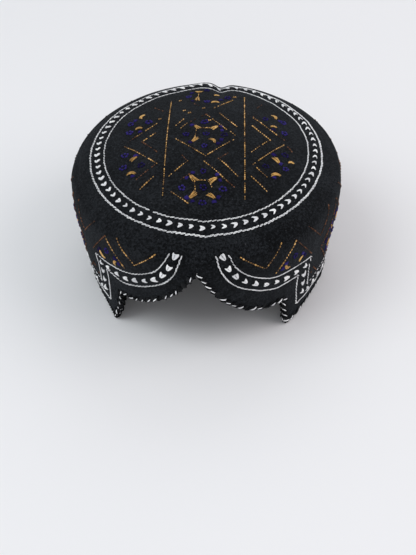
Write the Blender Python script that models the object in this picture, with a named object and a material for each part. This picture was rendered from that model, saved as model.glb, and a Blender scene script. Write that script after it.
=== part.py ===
"""A sindhi cap at rest on its hem, in metres, front at -Y and hem on z = 0.

Three sewn pieces of cloth: the side band with the arch cut in its front, the domed
crown, and the overcast edging that runs along the whole hem.
"""

import math

import bpy
import numpy as np

# Main sizes
LENGTH_PER_WIDTH = 1.15
HEM_HALF_WIDTH = 0.0865
CLOTH_THICK = 0.0022
EDGE_WIDTH = 0.0024
EDGE_PROUD = 0.0005
SEAM_GAP = 0.0004
HEM_FLARE_HEIGHT = 0.036
FOLD_FLOOR = 0.066
BODY_MIDDLE = 0.040

# How finely the shells are drawn, in degrees round the cap
BAND_STEP = 3.75
CROWN_STEP = 5.0
LEAST_STEP = 0.55
OUTLINE_STEPS = 24

# Outside of the band: height above the hem, half width
BAND_PROFILE = (
    (-0.010, 0.0854),
    (0.000, HEM_HALF_WIDTH),
    (0.020, 0.0892),
    (0.040, 0.0919),
    (0.055, 0.0941),
    (0.066, 0.0954),
    (0.074, 0.0957),
    (0.079, 0.0951),
    (0.0823, 0.0935),
    (0.0849, 0.0910),
)
BAND_TOP = 0.0849
BAND_ROWS = (0, 0.22, 0.44, 0.64, 0.80, 0.90, 0.96, 1)
# Across the edging: share of its width, share of how proud it stands
EDGING_ROWS = ((0, -0.25), (0.3, 1), (0.8, 1), (1, -0.25))

# Outside of the crown: half width, height above the hem
CROWN_PROFILE = (
    (0.0000, 0.1055),
    (0.0250, 0.1040),
    (0.0500, 0.0994),
    (0.0717, 0.0932),
    (0.0814, 0.0900),
    (0.0865, 0.0876),
    (0.0907, 0.0852),
    (0.0930, 0.0836),
)
CROWN_RIM = 0.0907
CROWN_RINGS = (0.012, 0.025, 0.038, 0.050, 0.061, 0.070, 0.077, 0.083, 0.0875)
# The sewn seam between band and crown leans by this much: outwards, upwards
SEAM_LEAN = (0.6, 0.8)

# The hem: angle from the front, half width on the left, half width on the right
HEM_PLAN = (
    (0, 0.0895, 0.0895),
    (42, 0.0910, 0.0893),
    (48, 0.0887, 0.0879),
    (54, 0.0867, 0.0867),
    (61, 0.0859, 0.0859),
    (68, 0.0857, 0.0861),
    (75, 0.0862, 0.0867),
    (88, 0.0874, 0.0876),
    (130, 0.0870, 0.0870),
    (180, 0.0865, 0.0865),
)

# The arch in the front, turned a little to the wearer's right of the long axis:
# place, angle and height on the left, angle and height on the right
ARCH_TURN = -1.5
ARCH = (
    ("cusp", 0.0, 0.0717, 0.0, 0.0717),
    ("cusp_side", 3.9, 0.0625, 4.8, 0.0576),
    ("rise", 9.4, 0.0505, 10.6, 0.0447),
    ("flank", 16.4, 0.0411, 17.8, 0.0349),
    ("lobe", 23.4, 0.0345, 23.6, 0.0298),
    ("lobe_low", 29.3, 0.0314, 30.6, 0.0268),
    ("lobe_end", 33.9, 0.0303, 36.8, 0.0262),
    ("notch", 36.8, 0.0310, 39.7, 0.0258),
    ("flap", 38.8, 0.0150, 40.5, 0.0120),
    ("tip", 42.8, 0.0000, 42.2, 0.0000),
)
CORNERS = ("cusp", "notch", "tip")
NEAR_CORNERS = (-2.4, -1.6, -0.8, 0, 0.8, 1.6, 2.4)

# Folds in the rim: centre across, half spread, y where it starts, y where it is full, lift
FOLDS = (
    ("back_dent", 0.0080, 0.0052, 0.050, 0.095, -0.0032),
    ("back_peak", -0.0040, 0.0080, 0.050, 0.095, 0.0010),
    ("front_crease", 0.0017, 0.0040, -0.065, -0.095, -0.0012),
)
FOLD_COLUMNS = (4.0, 2.2, 1.1, 0, -1.1, -2.2, -4.0, -6.5, -9.0)


def clear_scene():
    for obj in list(bpy.data.objects):
        bpy.data.objects.remove(obj, do_unlink=True)


def curve_through(points, where):
    """A smooth curve through (x, y) points that never overshoots them."""
    x, y = np.array(points, float).T
    step = np.diff(x)
    rise = np.diff(y) / step
    slope = np.zeros(len(x))
    slope[0], slope[-1] = rise[0], rise[-1]
    same = rise[:-1] * rise[1:] > 0
    w1 = 2 * step[1:] + step[:-1]
    w2 = step[1:] + 2 * step[:-1]
    safe0 = np.where(same, rise[:-1], 1)
    safe1 = np.where(same, rise[1:], 1)
    slope[1:-1] = np.where(same, (w1 + w2) / (w1 / safe0 + w2 / safe1), 0)
    where = np.clip(np.asarray(where, float), x[0], x[-1])
    i = np.clip(np.searchsorted(x, where, side="right") - 1, 0, len(x) - 2)
    t = (where - x[i]) / step[i]
    t2, t3 = t * t, t * t * t
    return (
        (2 * t3 - 3 * t2 + 1) * y[i]
        + (t3 - 2 * t2 + t) * step[i] * slope[i]
        + (3 * t2 - 2 * t3) * y[i + 1]
        + (t3 - t2) * step[i] * slope[i + 1]
    )


def ease(t):
    t = np.clip(t, 0, 1)
    return t * t * (3 - 2 * t)


def folded(points):
    """The points with the folds of the rim lifting or sinking them."""
    x, y, z = points[..., 0], points[..., 1], points[..., 2]
    high = ease((z - FOLD_FLOOR) / (BAND_TOP - FOLD_FLOOR))
    out = points.copy()
    for _, across, spread, start, full, lift in FOLDS:
        near = np.exp(-(((x - across) / spread) ** 2))
        out[..., 2] += lift * near * ease((y - start) / (full - start)) * high
    return out


def place(angle, half, height):
    """The point at this angle from the front, on the oval of this half width."""
    a = np.radians(angle)
    at = np.stack(
        [half * np.sin(a), -LENGTH_PER_WIDTH * half * np.cos(a), height + 0 * a], -1
    )
    return folded(at)


def band_point(angle, height):
    turned = (np.asarray(angle) + 180) % 360 - 180
    plan = np.array(HEM_PLAN)
    left = curve_through(plan[:, (0, 1)], np.abs(turned))
    right = curve_through(plan[:, (0, 2)], np.abs(turned))
    flare = np.where(turned < 0, left, right) - HEM_HALF_WIDTH
    fade = np.clip(1 - np.asarray(height) / HEM_FLARE_HEIGHT, 0, 1.3) ** 2
    return place(angle, curve_through(BAND_PROFILE, height) + flare * fade, height)


def crown_point(angle, half):
    return place(angle, half, curve_through(CROWN_PROFILE, half))


def skin(surface, a, b, depth):
    """Points at a depth under a surface, along its own normal."""
    step_a, step_b = 0.2, 0.0004
    along_a = surface(a + step_a, b) - surface(a - step_a, b)
    along_b = surface(a, b + step_b) - surface(a, b - step_b)
    out = np.cross(along_a, along_b)
    out /= np.linalg.norm(out, axis=-1, keepdims=True)
    at = surface(a, b)
    away = at - np.array([0, 0, BODY_MIDDLE])
    out *= np.sign((out * away).sum(-1, keepdims=True))
    return at - out * np.asarray(depth)[..., None]


def under_seam(points, angle, depth):
    """Points straight under the seam, so that both sewn edges lie along each other."""
    a = np.radians(angle)
    level = np.stack([np.sin(a) * LENGTH_PER_WIDTH, -np.cos(a), 0 * a], -1)
    level /= np.linalg.norm(level, axis=-1, keepdims=True)
    return points - depth * (SEAM_LEAN[0] * level + SEAM_LEAN[1] * np.array([0, 0, 1]))


def hem_outline():
    """Angle and height along the hem, once round from the back, and its corner angles."""
    angles, heights, corners = [], [], []
    for side, column in ((-1, 1), (1, 3)):
        pieces, run = [], []
        for row in ARCH:
            point = row[column : column + 2]
            run.append(point)
            if row[0] not in CORNERS:
                continue
            corners.append(side * point[0])
            if len(run) > 1:
                where = np.linspace(run[0][0], point[0], OUTLINE_STEPS)
                pieces += list(zip(where, curve_through(run, where)))
            run = [point]
        pieces.sort(reverse=side < 0)
        angles += [side * p[0] + ARCH_TURN for p in pieces]
        heights += [p[1] for p in pieces]
    corners = sorted({c + ARCH_TURN for c in corners})
    return np.array([-190.0] + angles + [190.0]), np.array([0.0] + heights + [0.0]), corners


def round_length(angle):
    """Length round the oval from the front, for turning a width into an angle."""
    a = np.radians(np.linspace(-190, 190, 1521))
    oval = np.sqrt(np.cos(a) ** 2 + (LENGTH_PER_WIDTH * np.sin(a)) ** 2)
    speed = HEM_HALF_WIDTH * oval
    total = np.concatenate([[0], np.cumsum((speed[1:] + speed[:-1]) / 2 * np.diff(a))])
    total -= np.interp(0, a, total)
    return np.interp(np.radians(angle), a, total)


def raised_hem(angle, width):
    """Height of the line that runs this far inside the hem."""
    outline, heights, _ = hem_outline()
    fine = np.linspace(-184, 184, 7361)
    low = np.interp(fine, outline, heights)
    length = round_length(fine)
    here = round_length(np.asarray(angle, float))
    apart = here[:, None] - length[None]
    reach = np.sqrt(np.maximum(width**2 - apart**2, 0))
    steep = np.where(np.abs(apart) <= width, low[None] + reach, -1)
    return steep.max(1)


def column_angles(step, corners):
    """Angles round the cap, closer together beside these corners and the rim's folds."""
    base = list(np.arange(-180, 180, step))
    for c in corners:
        base += [c + d for d in NEAR_CORNERS]
    base += [180 + d for d in FOLD_COLUMNS]
    base = sorted({round((b + 180) % 360 - 180, 3) for b in base})
    kept = [base[0]]
    exact = {round(c, 3) for c in corners}
    for b in base[1:]:
        if b - kept[-1] >= LEAST_STEP:
            kept.append(b)
        elif b in exact:
            kept[-1] = b
    return np.array(kept)


def solid(name, outer, inner, poles=None):
    """A closed shell between two grids of points, rows by columns round the cap."""
    rows, cols = outer.shape[:2]
    verts = [tuple(p) for p in outer.reshape(-1, 3)] + [tuple(p) for p in inner.reshape(-1, 3)]
    back = rows * cols
    faces = []
    for c in range(cols):
        d = (c + 1) % cols
        for r in range(rows - 1):
            faces.append((r * cols + c, r * cols + d, (r + 1) * cols + d, (r + 1) * cols + c))
            faces.append(tuple(back + i for i in reversed(faces[-1])))
        faces.append((back + c, back + d, d, c))
        if poles is None:
            top = (rows - 1) * cols
            faces.append((top + c, top + d, back + top + d, back + top + c))
    if poles is not None:
        top = (rows - 1) * cols
        tip = len(verts)
        verts += [tuple(p) for p in poles]
        for c in range(cols):
            d = (c + 1) % cols
            faces.append((top + c, top + d, tip))
            faces.append((back + top + d, back + top + c, tip + 1))
    mesh = bpy.data.meshes.new(name)
    mesh.from_pydata(verts, [], faces)
    mesh.update()
    corners = np.array(verts)
    mesh.calc_loop_triangles()
    tris = np.array([t.vertices[:] for t in mesh.loop_triangles])
    if np.linalg.det(corners[tris]).sum() < 0:
        mesh.flip_normals()
    mesh.polygons.foreach_set("use_smooth", [True] * len(mesh.polygons))
    mesh.set_sharp_from_angle(angle=math.radians(38))
    obj = bpy.data.objects.new(name, mesh)
    bpy.context.scene.collection.objects.link(obj)
    return obj


def cloth(obj, color, roughness):
    material = bpy.data.materials.new(obj.name + "_cloth")
    material.use_nodes = True
    shader = material.node_tree.nodes["Principled BSDF"]
    shader.inputs["Base Color"].default_value = (*color, 1)
    shader.inputs["Roughness"].default_value = roughness
    obj.data.materials.append(material)


def make_side_band():
    _, _, corners = hem_outline()
    angle = column_angles(BAND_STEP, corners)
    low = raised_hem(angle, EDGE_WIDTH + SEAM_GAP)
    shares = np.array(BAND_ROWS)
    height = low[None] + shares[:, None] * (BAND_TOP - low[None])
    around = np.broadcast_to(angle, height.shape)
    outer = band_point(around, height)
    inner = skin(band_point, around, height, np.full(height.shape, CLOTH_THICK))
    inner[-1] = under_seam(outer[-1], angle, CLOTH_THICK)
    cloth(solid("side_band", outer, inner), (0.012, 0.013, 0.015), 0.95)


def make_hem_edging():
    outline, heights, corners = hem_outline()
    angle = column_angles(BAND_STEP, corners)
    low = np.interp(angle, outline, heights)
    high = raised_hem(angle, EDGE_WIDTH)
    shares, proud = np.array(EDGING_ROWS, float).T
    height = low[None] + shares[:, None] * (high - low)[None]
    around = np.broadcast_to(angle, height.shape)
    lift = np.broadcast_to(EDGE_PROUD * proud[:, None], height.shape)
    outer = skin(band_point, around, height, -lift)
    inner = skin(band_point, around, height, CLOTH_THICK + lift)
    for side in (outer, inner):
        side[0, :, 2] = low
    cloth(solid("hem_edging", outer, inner), (0.030, 0.030, 0.033), 0.9)


def make_crown():
    angle = column_angles(CROWN_STEP, [0.0])
    rings = np.array([CROWN_RIM, *reversed(CROWN_RINGS)])
    half = np.broadcast_to(rings[:, None], (len(rings), len(angle)))
    around = np.broadcast_to(angle, half.shape)
    outer = crown_point(around, half)
    inner = skin(crown_point, around, half, np.full(half.shape, CLOTH_THICK))
    inner[0] = under_seam(outer[0], angle, CLOTH_THICK)
    top = crown_point(np.zeros(1), np.zeros(1))[0]
    under = top - np.array([0, 0, CLOTH_THICK])
    cloth(solid("crown", outer, inner, (top, under)), (0.014, 0.015, 0.017), 0.95)


clear_scene()
make_side_band()
make_hem_edging()
make_crown()
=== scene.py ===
"""A sindhi cap dressed in cloth and embroidery, in metres, front at -Y and hem on z = 0."""

import math
from functools import partial

import bpy
import numpy as np
from bpy.props import FloatProperty, FloatVectorProperty, IntProperty, PointerProperty
from mathutils import Matrix, Vector


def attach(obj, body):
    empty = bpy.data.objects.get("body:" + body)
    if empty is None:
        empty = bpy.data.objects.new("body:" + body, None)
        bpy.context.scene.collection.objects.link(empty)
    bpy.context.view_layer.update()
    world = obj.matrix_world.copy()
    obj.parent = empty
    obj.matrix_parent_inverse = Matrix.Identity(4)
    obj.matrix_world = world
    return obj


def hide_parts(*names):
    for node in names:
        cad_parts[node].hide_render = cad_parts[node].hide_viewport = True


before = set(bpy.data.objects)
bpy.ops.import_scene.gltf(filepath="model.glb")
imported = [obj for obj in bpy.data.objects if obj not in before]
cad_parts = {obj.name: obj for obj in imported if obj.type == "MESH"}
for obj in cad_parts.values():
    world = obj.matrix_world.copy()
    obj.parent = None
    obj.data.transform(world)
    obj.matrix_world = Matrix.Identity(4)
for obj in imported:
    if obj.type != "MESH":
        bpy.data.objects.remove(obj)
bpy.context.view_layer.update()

bl_info = {
    "name": "Sindhi Cap",
    "version": (1, 0, 0),
    "blender": (4, 5, 0),
    "location": "3D View > Sidebar > Cap",
    "description": "Sews and embroiders a sindhi cap on its plain solids",
    "category": "Object",
}

# Shape of the cap, the same as in its solids
LENGTH_PER_WIDTH = 1.15
HEM_HALF_WIDTH = 0.0865
CLOTH_THICK = 0.0022
HEM_FLARE_HEIGHT = 0.036
FOLD_FLOOR = 0.066
BAND_PROFILE = (
    (-0.010, 0.0854),
    (0.000, HEM_HALF_WIDTH),
    (0.020, 0.0892),
    (0.040, 0.0919),
    (0.055, 0.0941),
    (0.066, 0.0954),
    (0.074, 0.0957),
    (0.079, 0.0951),
    (0.0823, 0.0935),
    (0.0849, 0.0910),
)
BAND_TOP = 0.0849
CROWN_PROFILE = (
    (0.0000, 0.1055), (0.0250, 0.1040), (0.0500, 0.0994), (0.0717, 0.0932), (0.0814, 0.0900),
    (0.0865, 0.0876), (0.0907, 0.0852), (0.0930, 0.0836),
)
CROWN_RIM = 0.0907
# The hem: angle from the front, half width on the left, half width on the right
HEM_PLAN = (
    (0, 0.0895, 0.0895), (42, 0.0910, 0.0893), (48, 0.0887, 0.0879), (54, 0.0867, 0.0867),
    (61, 0.0859, 0.0859), (68, 0.0857, 0.0861), (75, 0.0862, 0.0867), (88, 0.0874, 0.0876),
    (130, 0.0870, 0.0870), (180, 0.0865, 0.0865),
)
# The arch in the front: place, angle and height on the left, angle and height on the right
ARCH_TURN = -1.5
ARCH = (
    ("cusp", 0.0, 0.0717, 0.0, 0.0717),
    ("cusp_side", 3.9, 0.0625, 4.8, 0.0576),
    ("rise", 9.4, 0.0505, 10.6, 0.0447),
    ("flank", 16.4, 0.0411, 17.8, 0.0349),
    ("lobe", 23.4, 0.0345, 23.6, 0.0298),
    ("lobe_low", 29.3, 0.0314, 30.6, 0.0268),
    ("lobe_end", 33.9, 0.0303, 36.8, 0.0262),
    ("notch", 36.8, 0.0310, 39.7, 0.0258),
    ("flap", 38.8, 0.0150, 40.5, 0.0120),
    ("tip", 42.8, 0.0000, 42.2, 0.0000),
)
CORNERS = ("cusp", "notch", "tip")
# Path points beside the cusp, left and right, that the oversewing leaves free, so it stays sharp
CUSP_CLEAR = (2, 4)
# Folds in the rim: centre across, half spread, y where it starts, y where it is full, lift
FOLDS = (
    ("back_dent", 0.0080, 0.0052, 0.050, 0.095, -0.0032),
    ("back_peak", -0.0040, 0.0080, 0.050, 0.095, 0.0010),
    ("front_crease", 0.0017, 0.0040, -0.065, -0.095, -0.0012),
)
# Slow unevenness of the stiffened cloth: waves a metre across and up, turn, lift
RIPPLES = (
    (9, 4, 0.3, 0.00030), (-14, 11, 1.7, 0.00022), (31, 7, 2.2, 0.00012), (-23, 29, 4.0, 0.00010),
    (52, -41, 0.9, 0.00006), (70, 66, 5.1, 0.00004),
)

# White lines of the band that follows the hem: angle and height on the left and right
BAND_OUTER = (
    ("seam", 7.6, 0.0818, 6.3, 0.0818),
    ("fall", 8.9, 0.0760, 7.1, 0.0760),
    ("fall_low", 10.4, 0.0690, 8.5, 0.0700),
    ("bend", 15.4, 0.0585, 12.8, 0.0590),
    ("bend_low", 18.9, 0.0543, 16.6, 0.0538),
    ("lobe", 23.7, 0.0500, 21.4, 0.0495),
    ("lobe_low", 28.6, 0.0464, 25.5, 0.0460),
    ("lobe_end", 36.9, 0.0425, 34.5, 0.0418),
    ("notch", 45.6, 0.0450, 44.7, 0.0416),
    ("flap", 46.2, 0.0300, 45.2, 0.0290),
    ("corner", 47.5, 0.0125, 46.4, 0.0120),
    ("side", 56.0, 0.0122, 55.0, 0.0122),
    ("back", 180.0, 0.0122, 180.0, 0.0122),
)
BAND_INNER = (
    ("seam", 12.9, 0.0818, 11.5, 0.0818),
    ("fall", 14.7, 0.0766, 12.7, 0.0771),
    ("fall_low", 18.3, 0.0682, 15.9, 0.0693),
    ("bend", 23.1, 0.0627, 20.7, 0.0625),
    ("bend_low", 26.5, 0.0596, 25.5, 0.0582),
    ("lobe", 30.6, 0.0569, 29.7, 0.0552),
    ("lobe_low", 34.1, 0.0549, 34.5, 0.0536),
    ("lobe_end", 38.5, 0.0535, 41.4, 0.0531),
    ("notch", 51.8, 0.0528, 51.4, 0.0526),
    ("flap", 52.4, 0.0400, 51.8, 0.0400),
    ("corner", 53.8, 0.0242, 53.0, 0.0242),
    ("side", 60.0, 0.0240, 60.0, 0.0240),
    ("back", 180.0, 0.0240, 180.0, 0.0240),
)
LINE_CORNERS = ("seam", "notch", "corner", "back")

# How wide and how deep the seam and the front join pull the cloth in
SEAM_WIDTH, SEAM_DEPTH = 0.0016, 0.0009
JOIN_WIDTH, JOIN_DEPTH = 0.0011, 0.0005

# The white ring on the crown: half width of its two lines and of the marks between
RING_OUTER, RING_INNER, RING_MARKS = 0.0814, 0.0717, 0.0766
RING_MARK_COUNT = 72
# Length round the oval ring for that of a circle of the same half width
RING_OVAL_SHARE = 1.077

# The embroidery on the crown, across and along from its middle, in tenths of a millimetre.
# Lines of gold and of rust: both ends
TENTHS = 10000
CROWN_GOLD = (
    (-276, 560, -266, -605), (263, 625, 277, -628), (-205, -45, 4, -236), (8, -236, 192, -48),
    (-8, 276, 140, 82), (172, 53, 202, 12), (-178, 98, -140, 160), (-215, 138, -168, 222),
    (90, 296, 212, 130), (-232, -432, -115, -295), (0, -300, 152, -480), (94, -270, 225, -432),
    (-208, -585, -100, -684), (50, 390, 176, 550), (-360, 200, -500, 50), (-565, -50, -325, -300),
    (-360, 60, -445, -30), (-340, -430, -420, -530), (330, 280, 490, 90), (540, -30, 330, -300),
    (330, -300, 422, -402), (325, 150, 445, 0), (445, 0, 320, -170), (320, -420, 420, -530),
)
CROWN_RUST = (
    (-112, 186, -86, 212), (-34, 258, -8, 274), (-115, -295, -152, -238), (160, -490, 204, -534),
    (94, -270, 155, -210), (-98, -430, -150, -474), (-100, 480, -70, 438), (-500, 50, -548, 0),
    (-325, -300, -450, -435), (-445, -30, -335, -170), (-390, 470, -330, 400), (490, 90, 545, 40),
    (330, 302, 342, 262), (570, -40, 610, -95), (390, 530, 360, 460),
)
# Loose single stitches of gold
CROWN_DOTS = (
    (-30, 385), (-130, 320), (-170, 370), (-210, 570), (190, 620), (-340, 262), (20, 195),
)
# Thin threads that join the petals
CROWN_JOINS = (
    (-40, 96, 22, 94), (-70, 66, -75, -10), (-56, -487, 30, -487), (-60, -500, -50, -590),
    (40, -500, 56, -542), (-80, 620, -78, 680),
)
# Gold petals: across, along, direction in degrees, kind
PETAL_KINDS = ("wedge", "crescent", "small")
CROWN_PETALS = (
    (-66, 110, 128, "wedge"), (58, 100, 50, "wedge"), (-76, -48, 236, "wedge"),
    (52, -62, 312, "crescent"), (-70, -466, 124, "wedge"), (62, -480, 42, "wedge"),
    (-66, -620, 226, "wedge"), (56, -622, 316, "wedge"), (-82, 738, 160, "crescent"),
    (-82, 578, 95, "wedge"), (55, 672, 20, "small"), (50, 505, 0, "crescent"),
    (-478, 352, 62, "crescent"), (-485, 172, 4, "small"), (-490, -215, 50, "wedge"),
    (-490, -366, -6, "crescent"), (486, 356, 296, "crescent"), (475, 200, 0, "small"),
    (490, -216, 308, "wedge"), (482, -368, 2, "crescent"), (590, -205, 0, "small"),
)
# Blue eyelets, and patches of blue stitches at the outer ends of the petals
CROWN_EYELETS = (
    (0, 15), (-140, 15), (128, 10), (-15, 172), (-8, -125), (-5, -402), (0, -552), (-140, -555),
    (132, -560), (0, -684), (-10, 512), (-150, 640), (140, 600), (-20, 760), (-550, 252),
    (-420, 242), (-548, 125), (-555, -160), (-555, -292), (-430, -300), (416, 290), (546, 290),
    (550, 130), (550, -140), (416, -300), (550, -292),
)
CROWN_PATCHES = (
    (-102, 134, 38), (104, 118, 140), (112, 70, 110), (-106, -82, 150), (92, -98, 40),
    (112, -52, 80), (-112, -462, 60), (-74, -412, 160), (92, -432, 20), (112, -478, 100),
    (-104, -640, 120), (-66, -672, 20), (76, -672, 20), (106, -632, 70), (-130, 716, 60),
    (-118, 546, 130), (90, 552, 20), (-472, 118, 0), (-520, 300, 60), (-476, -188, 30),
    (-480, -400, 10), (472, 150, 0), (520, 310, 120), (470, -162, 150), (472, -398, 0),
    (520, -246, 60),
)
# One rosette of the band: petals and patches stand this far from its middle
ROSETTE_PETAL = (0.0065, 0.0080)
ROSETTE_KNOT = (0.0135, 0.0148)
PATTERN_EDGE = 0.0690
# Chevrons beside the arch, on the band: angle and height of their three points
FRONT_CHEVRONS = (
    ((-36.0, 0.0814), (-27.4, 0.0672), (-18.3, 0.0808)),
    ((33.2, 0.0814), (26.0, 0.0668), (15.8, 0.0806)),
)
# The band's rosettes: how many, angle of the first beside the arch, turn of them all, height.
# Then how high the lines and the marks reach, and their gap to the white line
WALL_ROSETTES = 10
WALL_FIRST_ANGLE = 41.2
WALL_TURN = -1.1
WALL_ROSETTE_HEIGHT = 0.0512
WALL_PATTERN_TOP = 0.0822
WALL_MARK_TOP = 0.0795
WALL_CLEAR = 0.0042
# Half width of the band at the height of the pattern, and half height of its diamonds
PATTERN_HALF_WIDTH = 0.0930
DIAMOND_HALF_HEIGHT = 0.0272


def curve_through(points, where):
    """A smooth curve through (x, y) points that never overshoots them."""
    x, y = np.array(points, float).T
    step = np.diff(x)
    rise = np.diff(y) / step
    slope = np.zeros(len(x))
    slope[0], slope[-1] = rise[0], rise[-1]
    same = rise[:-1] * rise[1:] > 0
    w1 = 2 * step[1:] + step[:-1]
    w2 = step[1:] + 2 * step[:-1]
    safe0 = np.where(same, rise[:-1], 1)
    safe1 = np.where(same, rise[1:], 1)
    slope[1:-1] = np.where(same, (w1 + w2) / (w1 / safe0 + w2 / safe1), 0)
    where = np.clip(np.asarray(where, float), x[0], x[-1])
    i = np.clip(np.searchsorted(x, where, side="right") - 1, 0, len(x) - 2)
    t = (where - x[i]) / step[i]
    t2, t3 = t * t, t * t * t
    return (
        (2 * t3 - 3 * t2 + 1) * y[i]
        + (t3 - 2 * t2 + t) * step[i] * slope[i]
        + (3 * t2 - 2 * t3) * y[i + 1]
        + (t3 - t2) * step[i] * slope[i + 1]
    )


def ease(t):
    t = np.clip(t, 0, 1)
    return t * t * (3 - 2 * t)


def close_to(gap, width):
    """1 on a line of the cloth and falling to 0 beside it."""
    return np.exp(-((gap / width) ** 2))


def folded(points):
    """The points with the folds of the rim lifting or sinking them."""
    x, y, z = points[..., 0], points[..., 1], points[..., 2]
    high = ease((z - FOLD_FLOOR) / (BAND_TOP - FOLD_FLOOR))
    out = points.copy()
    for _, across, spread, start, full, lift in FOLDS:
        near = close_to(x - across, spread)
        out[..., 2] += lift * near * ease((y - start) / (full - start)) * high
    return out


def band_at(angle, height):
    """Outside of the side band at this angle from the front and this height."""
    angle, height = np.asarray(angle, float), np.asarray(height, float)
    turned = wrapped(angle)
    plan = np.array(HEM_PLAN)
    left = curve_through(plan[:, (0, 1)], np.abs(turned))
    right = curve_through(plan[:, (0, 2)], np.abs(turned))
    flare = np.where(turned < 0, left, right) - HEM_HALF_WIDTH
    fade = np.clip(1 - height / HEM_FLARE_HEIGHT, 0, 1.3) ** 2
    half = curve_through(BAND_PROFILE, height) + flare * fade
    a = np.radians(angle)
    return folded(
        np.stack([half * np.sin(a), -LENGTH_PER_WIDTH * half * np.cos(a), height + 0 * a], -1)
    )


def crown_at(x, y):
    """Outside of the crown straight above this place."""
    x, y = np.asarray(x, float), np.asarray(y, float)
    half = np.hypot(x, y / LENGTH_PER_WIDTH)
    return folded(np.stack([x, y, curve_through(CROWN_PROFILE, half)], -1))


def round_length(angle):
    """Length round the band from the front, at the height of the gold pattern."""
    a = np.radians(np.linspace(-200, 200, 3201))
    oval = np.sqrt(np.cos(a) ** 2 + (LENGTH_PER_WIDTH * np.sin(a)) ** 2)
    speed = PATTERN_HALF_WIDTH * oval
    total = np.concatenate([[0], np.cumsum((speed[1:] + speed[:-1]) / 2 * np.diff(a))])
    total -= np.interp(0, a, total)
    return np.interp(np.radians(angle), a, total)


def angle_along(length):
    """The angle from the front at this length round the band."""
    angles = np.linspace(-200, 200, 3201)
    return np.interp(length, round_length(angles), angles)


def unevenness(across, up):
    total = 0 * across
    for fx, fy, turn, lift in RIPPLES:
        total = total + lift * np.sin(2 * np.pi * (across * fx + up * fy) + turn)
    return total


def outward(surface, a, b, step_a, step_b):
    """Unit direction out of a surface that is given by a function of two places."""
    out = np.cross(
        surface(a + step_a, b) - surface(a - step_a, b),
        surface(a, b + step_b) - surface(a, b - step_b),
    )
    return out / np.linalg.norm(out, axis=-1, keepdims=True)


def near_line(across, up, line, width):
    """1 on a line and falling to 0 away from it, for places on the cloth."""
    places = np.stack([across.ravel(), up.ravel()], 1)
    best = np.full(len(places), 9.0)
    for part in range(0, len(places), 8000):
        gap = places[part : part + 8000, None] - line[None]
        best[part : part + 8000] = (gap**2).sum(-1).min(1)
    return np.exp(-best / width**2).reshape(across.shape)


def band_relief(angle, height):
    """How far the band's cloth stands out of its plain shape."""
    across = round_length(angle)
    swell = unevenness(across, height)
    settle = ease((BAND_TOP - height) / 0.012) * ease(height / 0.010)
    seam = close_to(BAND_TOP - height, SEAM_WIDTH)
    join = close_to(across - round_length(ARCH_TURN), JOIN_WIDTH)
    return swell * settle - SEAM_DEPTH * seam - JOIN_DEPTH * join


def crown_relief(x, y):
    """How far the crown's cloth stands out of its plain shape."""
    half = np.hypot(x, y / LENGTH_PER_WIDTH)
    swell = unevenness(x + 0.31, y) * ease((CROWN_RIM - half) / 0.012)
    seam = close_to(CROWN_RIM - half, SEAM_WIDTH)
    pulled = close_to(half - RING_OUTER, 0.0022) + close_to(half - RING_INNER, 0.0022)
    puffed = close_to(half - RING_MARKS, 0.0030)
    return swell - SEAM_DEPTH * seam - 0.00035 * pulled + 0.00025 * puffed


def on_surface(surface, relief, steps, a, b, lift):
    """Points on a dressed surface and the directions out of it."""
    a, b = np.asarray(a, float), np.asarray(b, float)
    out = outward(surface, a, b, *steps)
    return surface(a, b) + out * (relief(a, b) + lift)[..., None], out


def on_band(angle, height, lift=0.0):
    return on_surface(band_at, band_relief, (0.2, 0.0004), angle, height, lift)


def on_crown(x, y, lift=0.0):
    return on_surface(crown_at, crown_relief, (0.0004, 0.0004), x, y, lift)


def hem_outline():
    """Angle and height along the hem, once round from the back, and its corner angles."""
    angles, heights, corners = [], [], []
    for side, column in ((-1, 1), (1, 3)):
        pieces, run = [], []
        for row in ARCH:
            point = row[column : column + 2]
            run.append(point)
            if row[0] not in CORNERS:
                continue
            corners.append(side * point[0])
            if len(run) > 1:
                where = np.linspace(run[0][0], point[0], 40)
                pieces += list(zip(where, curve_through(run, where)))
            run = [point]
        pieces.sort(reverse=side < 0)
        angles += [side * p[0] + ARCH_TURN for p in pieces]
        heights += [p[1] for p in pieces]
    corners = sorted({c + ARCH_TURN for c in corners})
    return np.array([-190.0] + angles + [190.0]), np.array([0.0] + heights + [0.0]), corners


def metres(rows):
    return np.array(rows) / TENTHS


def far_along(at):
    """Length along a path on the cloth at each of its points."""
    return np.concatenate([[0], np.cumsum(np.hypot(*np.diff(at, axis=0).T))])


def side_path(table, side):
    """Angles and heights along one side of a line that follows the hem, from front to back."""
    column = 1 if side < 0 else 3
    places, run = [], []
    for row in table:
        run.append((side * row[column], row[column + 1]))
        if row[0] in LINE_CORNERS and len(run) > 1:
            at = np.array([(round_length(p[0]), p[1]) for p in run])
            far = far_along(at)
            steps = np.linspace(0, far[-1], max(int(far[-1] / 0.0006), 3))
            angle = curve_through(list(zip(far, [p[0] for p in run])), steps)
            height = curve_through(list(zip(far, [p[1] for p in run])), steps)
            places += list(zip(angle[:-1], height[:-1]))
        if row[0] in LINE_CORNERS:
            run = [run[-1]]
    places.append((side * table[-1][column], table[-1][column + 1]))
    return np.array(places)


def middle_table():
    """The path of the white marks, half way between the two white lines."""
    pairs = zip(BAND_OUTER, BAND_INNER)
    return [(a[0], *[(p + q) / 2 for p, q in zip(a[1:], b[1:])]) for a, b in pairs]


def both_sides(table, lift, end=None):
    """The runs of a line on the left and the right of the band."""
    return [on_band(*side_path(table, side)[:end].T, lift) for side in (-1, 1)]


# Meshes


def link(name, data):
    obj = bpy.data.objects.new(name, data)
    bpy.context.scene.collection.objects.link(obj)
    return obj


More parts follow.
